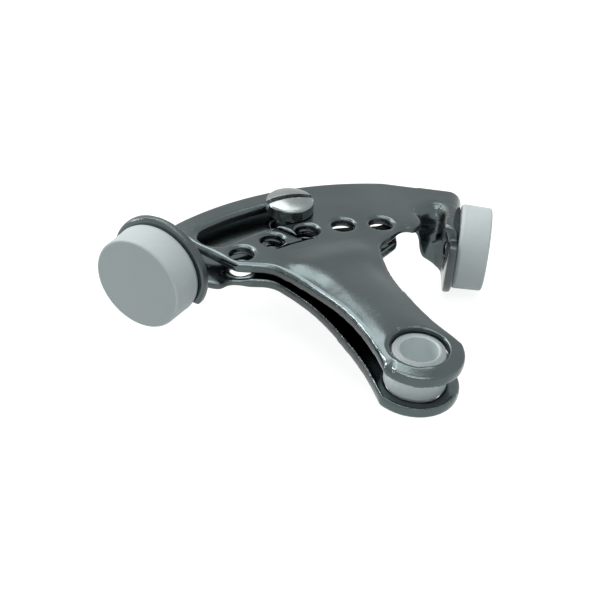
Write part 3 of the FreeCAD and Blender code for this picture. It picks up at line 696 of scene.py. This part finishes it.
# %% Screw body
SCREW_SEAT = 2.75
HEAD_RADIUS = 4.7
HEAD_SIDE = 2.4
HEAD_TOP = screw_high.z / MM
SHANK_END = screw_low.z / MM
CORE_RADIUS = 2.78
SLOT_TURN = math.radians(-8.0)
sphere_drop = HEAD_TOP - SCREW_SEAT - HEAD_SIDE
dome_radius = (HEAD_RADIUS ** 2 + sphere_drop ** 2) / (2 * sphere_drop)
dome = []
for step in range(9):
    reach = HEAD_RADIUS * 0.90 * step / 8
    dome.append((HEAD_TOP - dome_radius + math.sqrt(dome_radius ** 2 - reach ** 2), reach))
head = [(SCREW_SEAT, HEAD_RADIUS - 0.15), (SCREW_SEAT + 0.15, HEAD_RADIUS), (SCREW_SEAT + HEAD_SIDE, HEAD_RADIUS)]
shank = [(SHANK_END, 0.0), (SHANK_END, CORE_RADIUS - 0.6), (SHANK_END + 0.6, CORE_RADIUS), (SCREW_SEAT, CORE_RADIUS)]
screw_points = shank + head + list(reversed(dome))
screw_rounds = [0, 0.15, 0.15, 0.0, 0.05, 0.05, 0.55] + [0] * len(dome)
screw_origin = Vector((screw_axis.x, screw_axis.y, 0.0))
screw_blank = lathe("screw_blank", soften(screw_points, screw_rounds), screw_origin, (0, 0, 1), around=144)


def block(name, low, high, turn, origin):
    """A box in millimetres, turned about an upright axis through an origin."""
    work = bmesh.new()
    bmesh.ops.create_cube(work, size=1.0)
    size = Vector(high) - Vector(low)
    centre = (Vector(high) + Vector(low)) / 2
    place = Matrix.Translation(Vector(origin)) @ Matrix.Rotation(turn, 4, "Z") @ Matrix.Scale(MM, 4)
    shape = Matrix.Translation(centre) @ Matrix.Diagonal((*size, 1.0))
    bmesh.ops.transform(work, matrix=place @ shape, verts=work.verts)
    mesh = bpy.data.meshes.new(name)
    work.to_mesh(mesh)
    work.free()
    return add_object(name, mesh)


def settle(made, name):
    """The evaluated result of an object's modifiers as a plain piece. The working object goes."""
    bpy.context.view_layer.update()
    result = bpy.data.meshes.new_from_object(made.evaluated_get(bpy.context.evaluated_depsgraph_get()))
    bpy.data.objects.remove(made)
    result.name = name
    return add_object(name, result)


cutter = block("driver_slot", (-8, -0.7, HEAD_TOP - 1.5), (8, 0.7, HEAD_TOP + 1), SLOT_TURN, screw_origin)
cut = screw_blank.modifiers.new("driver_slot", "BOOLEAN")
cut.object = cutter
cut.solver = "EXACT"
edges = screw_blank.modifiers.new("soft_edges", "BEVEL")
edges.width = 0.14 * MM
edges.segments = 3
edges.limit_method = "ANGLE"
edges.angle_limit = math.radians(50)
screw = settle(screw_blank, "clamp_screw_body")
bpy.data.objects.remove(cutter)
screw.data.shade_smooth()
screw.data.set_sharp_from_angle(angle=math.radians(40))
screw.data.materials.append(bright_plate)
print("screw:", len(screw.data.polygons), "faces")

# %% [markdown]
# ## Thread
#
# A thread follows a rule: a small profile climbs a helix at a fixed pitch, here twenty turns to the
# inch. Geometry Nodes fit that well: a Spiral curve, a four-sided profile swept along it, and named
# inputs for radius, pitch and length. Its curve normals are turned upright so the profile's corner
# points straight out and makes the crest. The result is turned into a plain mesh at the end.

# %% Thread


def thread_tree():
    """A node tree that sweeps a profile along a helix."""
    tree = bpy.data.node_groups.new("helical_thread", "GeometryNodeTree")
    tree.interface.new_socket("Geometry", in_out="INPUT", socket_type="NodeSocketGeometry")
    for label in ("Radius", "Pitch", "Turns", "Depth", "Start Height"):
        tree.interface.new_socket(label, in_out="INPUT", socket_type="NodeSocketFloat")
    tree.interface.new_socket("Material", in_out="INPUT", socket_type="NodeSocketMaterial")
    tree.interface.new_socket("Geometry", in_out="OUTPUT", socket_type="NodeSocketGeometry")
    start, end = add_node(tree, "NodeGroupInput"), add_node(tree, "NodeGroupOutput")
    helix = set_value(add_node(tree, "GeometryNodeCurveSpiral"), "Resolution", 56)
    join(tree, start.outputs["Turns"], helix.inputs["Rotations"])
    join(tree, start.outputs["Radius"], helix.inputs["Start Radius"])
    join(tree, start.outputs["Radius"], helix.inputs["End Radius"])
    join(tree, math_node(tree, "MULTIPLY", start.outputs["Pitch"], start.outputs["Turns"]), helix.inputs["Height"])
    upright = add_node(tree, "GeometryNodeSetCurveNormal", mode="Z_UP")
    join(tree, helix.outputs["Curve"], upright.inputs["Curve"])
    profile = set_value(add_node(tree, "GeometryNodeCurvePrimitiveCircle"), "Resolution", 4)
    join(tree, start.outputs["Depth"], profile.inputs["Radius"])
    sweep = set_value(add_node(tree, "GeometryNodeCurveToMesh"), "Fill Caps", True)
    join(tree, upright.outputs["Curve"], sweep.inputs["Curve"])
    join(tree, profile.outputs["Curve"], sweep.inputs["Profile Curve"])
    lift = add_node(tree, "ShaderNodeCombineXYZ")
    join(tree, start.outputs["Start Height"], lift.inputs["Z"])
    moved = add_node(tree, "GeometryNodeTransform")
    join(tree, sweep.outputs["Mesh"], moved.inputs["Geometry"])
    join(tree, lift.outputs["Vector"], moved.inputs["Translation"])
    real = add_node(tree, "GeometryNodeRealizeInstances")
    join(tree, moved.outputs["Geometry"], real.inputs["Geometry"])
    finish = add_node(tree, "GeometryNodeSetMaterial")
    join(tree, real.outputs["Geometry"], finish.inputs["Geometry"])
    join(tree, start.outputs["Material"], finish.inputs["Material"])
    join(tree, finish.outputs["Geometry"], end.inputs["Geometry"])
    return tree


def set_inputs(modifier, **values):
    """Sets a Geometry Nodes modifier's inputs by their names, through their identifiers."""
    for item in modifier.node_group.interface.items_tree:
        if item.item_type == "SOCKET" and item.in_out == "INPUT" and item.name.replace(" ", "_") in values:
            modifier[item.identifier] = values[item.name.replace(" ", "_")]


PITCH = 25.4 / 20 * MM
thread_depth = 0.42 * MM
thread_low = (SHANK_END + 0.75) * MM
thread_turns = (-2.9 * MM - thread_low) / PITCH
thread_blank = add_object("thread_blank", bpy.data.meshes.new("thread_blank"))
winding = thread_blank.modifiers.new("thread", "NODES")
winding.node_group = thread_tree()
set_inputs(winding, Radius=3.165 * MM - thread_depth, Pitch=PITCH, Turns=thread_turns, Depth=thread_depth,
           Start_Height=thread_low, Material=bright_plate)
thread = settle(thread_blank, "clamp_screw_thread")
thread.data.transform(Matrix.Translation(screw_origin))
thread_check = bmesh.new()
thread_check.from_mesh(thread.data)
bmesh.ops.recalc_face_normals(thread_check, faces=thread_check.faces)
thread_check.to_mesh(thread.data)
thread_check.free()
thread.data.shade_smooth()
thread.data.set_sharp_from_angle(angle=math.radians(50))
print("thread:", round(thread_turns, 2), "turns,", len(thread.data.polygons), "faces")

# %% [markdown]
# ## Copies of CAD meshes
#
# The nut and the arms keep the CAD model's shape and only need softer edges. A CAD mesh arrives as loose
# triangles, so a copy is merged first: only then does Blender know which faces share an edge.

# %% Merged copy


def merged_copy(node, name):
    """A merged copy of a CAD node's mesh as a new object. The node itself isn't touched."""
    work = bmesh.new()
    work.from_mesh(frame["nodes"][node].data)
    bmesh.ops.remove_doubles(work, verts=work.verts, dist=0.0005 * MM)
    mesh = bpy.data.meshes.new(name)
    work.to_mesh(mesh)
    loose = sum(1 for edge in work.edges if not edge.is_manifold)
    work.free()
    print(f"{name}: {len(mesh.vertices)} points, {loose} open edges")
    return add_object(name, mesh)


# %% [markdown]
# ## Clamp nut
#
# A hexagon nut, bevelled at its corners on both sides. Flat triangles are joined into whole faces, and
# a Bevel gives each edge the small round that tumbling in the plating drum leaves.

# %% Nut
nut_blank = merged_copy("clamp_nut", "nut_blank")
nut_work = bmesh.new()
nut_work.from_mesh(nut_blank.data)
bmesh.ops.dissolve_limit(nut_work, angle_limit=math.radians(2), verts=nut_work.verts, edges=nut_work.edges)
nut_work.to_mesh(nut_blank.data)
nut_work.free()
rounds = nut_blank.modifiers.new("tumbled_edges", "BEVEL")
rounds.width = 0.16 * MM
rounds.segments = 3
rounds.limit_method = "ANGLE"
rounds.angle_limit = math.radians(24)
nut = settle(nut_blank, "clamp_nut_body")
nut.data.shade_smooth()
nut.data.set_sharp_from_angle(angle=math.radians(30))
nut.data.materials.clear()
nut.data.materials.append(bright_plate)
print("nut:", len(nut.data.polygons), "faces")

# %% [markdown]
# ## Pressed arms
#
# Both arms are the same stamping. On the real sheet every edge is softened by polishing and plating,
# and where the punch entered, the surface rolls down into the hole. A bevel would stumble over the many
# small CAD faces where the neck is drawn, so the arm is remeshed into an even skin of small quads, and
# a few rounds of smoothing take the steps out of it. The remesh works in millimetres, where its sizes are
# ordinary numbers. Where the lance leaves a sliver of sheet beside a hole, it makes a loose crumb, which
# is deleted. Before it, the plan of every upright wall of the sheet is noted from the CAD faces:
# the rolled rims below are measured from it, which is far more exact than from the skin's own points.

# %% Even skin
VOXEL = 0.16
SMOOTH_ROUNDS = 8
SLIVER = 0.001


def wall_plan(mesh):
    """Points in plan along the upright walls of a CAD mesh, every tenth of a millimetre."""
    found = []
    for face in mesh.polygons:
        if abs(face.normal.z) > 0.1:
            continue
        ends = [mesh.vertices[index].co.xy for index in face.vertices]
        for first, last in zip(ends, ends[1:] + ends[:1]):
            steps = int((last - first).length / 0.1) + 1
            found += [tuple(first.lerp(last, step / steps)) for step in range(steps)]
    return np.unique(np.round(found, 3), axis=0)


def even_skin(blank, name):
    """An arm's blank, remeshed and smoothed."""
    skin = blank.modifiers.new("even_skin", "REMESH")
    skin.mode = "VOXEL"
    skin.voxel_size = VOXEL
    polish = blank.modifiers.new("polish", "SMOOTH")
    polish.factor = 0.5
    polish.iterations = SMOOTH_ROUNDS
    return settle(blank, name)


def drop_crumbs(mesh):
    """Deletes every loose part of a mesh but the largest, and the slivers in it."""
    work = bmesh.new()
    work.from_mesh(mesh)
    parts, left = [], set(work.verts)
    while left:
        front = {left.pop()}
        part = set(front)
        while front:
            front = {edge.other_vert(vert) for vert in front for edge in vert.link_edges} - part
            part |= front
        left -= part
        parts.append(part)
    crumbs = [vert for part in sorted(parts, key=len)[:-1] for vert in part]
    bmesh.ops.delete(work, geom=crumbs, context="VERTS")
    bmesh.ops.dissolve_degenerate(work, dist=SLIVER, edges=work.edges)
    work.to_mesh(mesh)
    work.free()
    print(f"{mesh.name}: {len(crumbs)} points in crumbs")


arm_blank = merged_copy("upper_arm", "arm_blank")
arm_blank.data.transform(Matrix.Scale(1 / MM, 4))
walls = wall_plan(arm_blank.data)
arm = even_skin(arm_blank, "upper_arm_pressing")
drop_crumbs(arm.data)
print("upright walls:", len(walls), "points in plan")
print("arm skin:", len(arm.data.polygons), "quads,", round(sum(p.area for p in arm.data.polygons)), "mm2")

# %% Points and normals as arrays


def read_points(mesh):
    """The points of a mesh as an array."""
    flat = np.empty(len(mesh.vertices) * 3)
    mesh.vertices.foreach_get("co", flat)
    return flat.reshape(-1, 3)


def write_points(mesh, places):
    """Moves the points of a mesh to an array's places."""
    mesh.vertices.foreach_set("co", np.ascontiguousarray(places).ravel())
    mesh.update()


def read_normals(mesh):
    """The point normals of a mesh as an array."""
    flat = np.empty(len(mesh.vertices) * 3)
    mesh.vertex_normals.foreach_get("vector", flat)
    return flat.reshape(-1, 3)


def relax(mesh, share, rounds):
    """Moves points towards the mean of their neighbours, each by its own share."""
    places = read_points(mesh)
    ends = np.empty(len(mesh.edges) * 2, dtype=np.int64)
    mesh.edges.foreach_get("vertices", ends)
    pairs = ends.reshape(-1, 2)
    pairs = np.concatenate([pairs, pairs[:, ::-1]])
    pairs = pairs[share[pairs[:, 0]] > 0]
    moving = np.unique(pairs[:, 0])
    row = np.searchsorted(moving, pairs[:, 0])
    count = np.bincount(row)
    for _ in range(rounds):
        means = np.stack([np.bincount(row, places[pairs[:, 1], axis]) / count for axis in range(3)], 1)
        places[moving] += (means - places[moving]) * share[moving, None]
    write_points(mesh, places)


def step_between(values, low, high):
    """0 below low, 1 above high and an even change between."""
    return np.clip((values - low) / (high - low), 0, 1)


print("array helpers are ready")

# %% [markdown]
# Tumbling and plating wear the edges of the sheet to a small round, except at the narrow lance, where
# nothing reaches in. The upright walls are then ironed on their own, which leaves their rims in place.
# The lower rims, where the sheet tore off the punch, get more rounds than the upper ones, which the next
# step shapes.

# %% Worn rims
LANCE_RADIUS = 38.75


def upright_share(mesh):
    """1 for points whose surface stands upright and 0 where it lies flat."""
    return 1 - step_between(np.abs(read_normals(mesh)[:, 2]), 0.3, 0.7)


plan_radius = np.hypot(*read_points(arm.data)[:, :2].T)
beside = np.abs(read_points(arm.data)[:, 0])
lance_share = (1 - step_between(np.abs(plan_radius - LANCE_RADIUS), 0.8, 1.4)) * (beside < 10)
relax(arm.data, 0.5 * (1 - 0.9 * lance_share), 14)
relax(arm.data, 0.5 * upright_share(arm.data), 24)
downward = -read_normals(arm.data)[:, 2]
lower_rims = step_between(downward, 0.1, 0.3) * (1 - step_between(downward, 0.90, 0.98)) * (1 - lance_share)
relax(arm.data, 0.5 * lower_rims, 40)
print("points beside the lance:", int((lance_share > 0.5).sum()))
print("points on lower rims:", int((lower_rims > 0.5).sum()))

# %% [markdown]
# A punch drags the sheet down before it shears it, so the upper face rolls into every hole and over
# every outline. The slot's roll is the widest, because its slug is the heaviest. Each point is pressed
# down by how near it is, in plan, to an upright wall. The wall below follows with less and less, so no
# ridge is left. Round the eye the same step also lowers the border outside the coined ring. The drawn
# neck is left out: its edges were formed after blanking.

# %% Rolled rims
INDEX_RADIUS = 41.4
INDEX_PITCH = math.radians(10.5)
INDEX_HOLE = 2.25
SLOT_RADIUS = 49.15
SLOT_HALF = 3.55
SLOT_ANGLE = math.radians(20.0)
ROLLS = {"hole": (0.75, 0.22), "slot": (1.4, 0.42), "outline": (0.85, 0.34)}
EYE_SHOULDER = (5.75, 6.95)
EYE_STEP = 0.30
flange_middle = np.array(mounts["right_buffer_face"]["pos_m"]) / MM
neck_out = np.array(mounts["right_buffer_face"]["axis"])
flange_middle = flange_middle - neck_out * BUFFER_LENGTH
neck_across = np.array([-neck_out[1], neck_out[0], 0.0])


def nearest(targets, places):
    """Distance in plan from each place to the nearest target, and that target's number."""
    tree = kdtree.KDTree(len(targets))
    for index, target in enumerate(targets):
        tree.insert((target[0], target[1], 0.0), index)
    tree.balance()
    found = [tree.find((place[0], place[1], 0.0)) for place in places]
    return np.array([f[2] for f in found]), np.array([f[1] for f in found])


def sort_walls(plan):
    """Which wall points belong to an index hole, to the slot and to the outline or the eye."""
    hole = np.full(len(plan), 99.0)
    for step in (-2, -1, 0, 1, 2):
        bearing = math.pi / 2 + step * INDEX_PITCH
        middle = np.array([math.cos(bearing), math.sin(bearing)]) * INDEX_RADIUS
        hole = np.minimum(hole, np.abs(np.hypot(*(plan - middle).T) - INDEX_HOLE))
    turn = np.clip(np.arctan2(plan[:, 1], plan[:, 0]) - math.pi / 2, 0, SLOT_ANGLE) + math.pi / 2
    middle = np.stack([np.cos(turn), np.sin(turn)], 1) * SLOT_RADIUS
    slot = np.abs(np.hypot(*(plan - middle).T) - SLOT_HALF) < 0.1
    radius = np.hypot(*plan.T)
    tongue = (radius < SLOT_RADIUS - SLOT_HALF) & (radius > LANCE_RADIUS - 0.9) & (np.abs(plan[:, 0]) < 12)
    flat = (np.c_[plan, np.zeros(len(plan))] - flange_middle) @ neck_out < -9.0
    hole = hole < 0.1
    return {"hole": plan[hole], "slot": plan[slot], "outline": plan[flat & ~(hole | slot | tongue)]}


def roll_rims(mesh, plan):
    """Presses the upper face down towards its upright walls."""
    places, facing = read_points(mesh), read_normals(mesh)
    flat = np.flatnonzero((places - flange_middle) @ neck_out < -9.5)
    near = places[flat]
    top = near[facing[flat, 2] > 0.85]
    level = top[nearest(top, near)[1], 2]
    fall = np.zeros(len(flat))
    for kind, targets in sort_walls(plan).items():
        width, depth = ROLLS[kind]
        fall = np.maximum(fall, depth * np.clip(1 - nearest(targets, near)[0] / width, 0, 1) ** 2)
        print(f"{kind}: {len(targets)} wall points")
    from_pin = np.hypot(near[:, 0], near[:, 1])
    fall += EYE_STEP * step_between(from_pin, *EYE_SHOULDER) * (1 - step_between(near[:, 1], -1.0, 5.0))
    moved = fall * np.clip(1 - (level - near[:, 2]) / 1.3, 0, 1)
    places[flat, 2] -= moved
    write_points(mesh, places)
    return moved


moved = roll_rims(arm.data, walls)
print("points rolled down:", int((moved > 0.01).sum()), "by up to", round(float(moved.max()), 2), "mm")

# %% [markdown]
# The sheet is 2.1 mm thick. From a point on a face, straight into the metal, the other face is that far
# away. From a point on the sheared edge it is much farther. So a ray into the metal tells the two apart.
# The drawn neck needs to know it below, and so does the plate's material, through an attribute.

# %% Sheared edge
SHEET = 2.1


def sheared_share(mesh):
    """1 for points on the cut edges of the sheet and 0 for points on its faces."""
    skin = bvhtree.BVHTree.FromPolygons([v.co for v in mesh.vertices], [tuple(p.vertices) for p in mesh.polygons])
    marks = np.zeros(len(mesh.vertices), dtype=np.float32)
    for index, (place, normal) in enumerate(zip(read_points(mesh), read_normals(mesh))):
        way = Vector(-normal)
        hit = skin.ray_cast(Vector(place) + way * 0.05, way, 3 * SHEET)
        depth = hit[3] if hit[3] is not None else 3 * SHEET
        marks[index] = min(1.0, max(0.0, (depth / SHEET - 1.25) / 0.45))
    return marks


sheared = sheared_share(arm.data)
print("share of points on the sheared edge:", round(float(sheared.mean()), 3))

# %% [markdown]
# The neck is drawn between rounded tools, so the hollow in its front has no crease anywhere. Points
# there are moved again and again towards the mean of their neighbours, fully inside the hollow and not
# at all a few millimetres away, which leaves the flange and the head as crisp as they were. The lower
# part of the neck was stretched tight, so it gets many more rounds, but its cut edge holds still, for it
# would shrink. Across the hollow the tools press a bead with a pocket below it. Both sides of the sheet
# move there together, so it keeps its thickness. Last, a few gentle rounds go over the whole arm, as
# the plating does.

# %% Drawn neck
BEAD_LEVEL = -0.2
BEAD_RISE = 0.65
POCKET_LEVEL = -2.9
POCKET_DEPTH = 0.8
from_flange = read_points(arm.data) - flange_middle
out, across = from_flange @ neck_out, from_flange @ neck_across
hollow = step_between(out, -14.5, -11.0) * (1 - step_between(out, -2.6, -1.4))
hollow *= step_between(-across, -4.5, -1.5) * (1 - step_between(-across, 9.5, 11.0))
relax(arm.data, hollow * 0.5, 140)
tight = hollow * (1 - step_between(from_flange[:, 2], 4.2, 6.4)) * (1 - sheared)
relax(arm.data, tight * 0.9, 700)
level = read_points(arm.data)[:, 2]
bead = BEAD_RISE * np.exp(-((level - BEAD_LEVEL) / 0.8) ** 2)
bead -= POCKET_DEPTH * np.exp(-((level - POCKET_LEVEL) / 1.3) ** 2)
bead *= step_between(out, -11.0, -7.5) * (1 - step_between(out, -4.2, -2.2))
bead *= step_between(-across, -4.5, -1.5) * (1 - step_between(-across, 9.5, 11.0))
write_points(arm.data, read_points(arm.data) - bead[:, None] * neck_across)
relax(arm.data, hollow * 0.5, 50)
relax(arm.data, np.full(len(hollow), 0.5), 6)
print("points in the hollow:", int((hollow > 0.5).sum()))

# %% [markdown]
# Handling rubs the rims first. A point on a rim lies farther out than its neighbours do on average, so
# that distance along the normal is the measure. Both measures go into attributes of the mesh.

# %% Rim and cut edge attributes


def neighbour_means(mesh, places):
    """The mean of each point's neighbours."""
    ends = np.empty(len(mesh.edges) * 2, dtype=np.int64)
    mesh.edges.foreach_get("vertices", ends)
    first, second = ends.reshape(-1, 2).T
    one, two = np.concatenate([first, second]), np.concatenate([second, first])
    count = np.bincount(one)
    return np.stack([np.bincount(one, places[two, axis]) / count for axis in range(3)], 1)


points = read_points(arm.data)
standing_out = np.sum((points - neighbour_means(arm.data, points)) * read_normals(arm.data), 1)
rims = step_between(standing_out / VOXEL ** 2, 0.15, 0.6)
for name, values in (("rim", rims), ("cut_edge", sheared)):
    attribute = arm.data.attributes.new(name, "FLOAT", "POINT")
    attribute.data.foreach_set("value", values.astype(np.float32))
print("share of points on a rim:", round(float((rims > 0.5).mean()), 3))

# %% [markdown]
# The skin has done its work, and the flat faces don't need so many points. Decimate takes out those that
# carry no shape first, and hands the attributes on. Its triangles differ in size, so the normals are
# weighted by area: a flat face then stays flat in the light right up to its rim.

# %% Lighter mesh
MOST_TRIANGLES = 190_000
quads = len(arm.data.polygons)
lighter = arm.modifiers.new("lighter", "DECIMATE")
lighter.ratio = MOST_TRIANGLES / (2 * quads)
arm = settle(arm, "upper_arm_pressing")
drop_crumbs(arm.data)
arm.data.shade_smooth()
even_light = arm.modifiers.new("even_light", "WEIGHTED_NORMAL")
even_light.weight = 60
arm = settle(arm, "upper_arm_pressing")
print("arm:", 2 * quads, "triangles before and", len(arm.data.polygons), "after")
print("attributes kept:", [name for name in ("rim", "cut_edge") if name in arm.data.attributes])

# %% [markdown]
# The lower arm is the same stamping turned over about the arm's own length, so its mesh is the upper
# one turned by half a turn about Y. A half turn keeps the faces pointing outwards, which a mirror would
# not.

# %% Both arms
arm.data.transform(Matrix.Scale(MM, 4))
arm.data.materials.clear()
arm.data.materials.append(dark_plate)
lower_mesh = arm.data.copy()
lower_mesh.transform(Matrix.Rotation(math.pi, 4, "Y"))
lower_arm = add_object("lower_arm_pressing", lower_mesh)
for piece, node in ((arm, "upper_arm"), (lower_arm, "lower_arm")):
    low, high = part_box(node)
    spots = np.array([v.co for v in piece.data.vertices])
    over = max(np.max(spots.max(0) - np.array(high)), np.max(np.array(low) - spots.min(0)))
    print(f"{piece.name}: reaches {over / MM:.3f} mm past the CAD box")

# %% [markdown]
# ## Joining the pieces to the frame
#
# Each piece rides on the CAD body that carries it, stands for the CAD node that it replaces and names
# the record's material slot that it takes its finish from. Nothing is left riding on nothing.

# %% Ride and replace
fittings = [
    (arm, "upper", "upper_arm", "arm_plate"),
    (lower_arm, "lower", "lower_arm", "arm_plate"),
    (bushing, "upper", "pin_bushing", "bushing"),
    (screw, "screw", "clamp_screw", "fastener"),
    (nut, "nut", "clamp_nut", "fastener"),
    (buffers["right"], "upper", "right_bumper", "buffer"),
    (buffers["left"], "lower", "left_bumper", "buffer"),
]
for piece, body, node, slot in fittings:
    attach(piece, body)
    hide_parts(node)
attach(thread, "screw")
total = sum(len(p.vertices) - 2 for piece, *_ in fittings for p in piece.data.polygons)
print("triangles in all:", total)
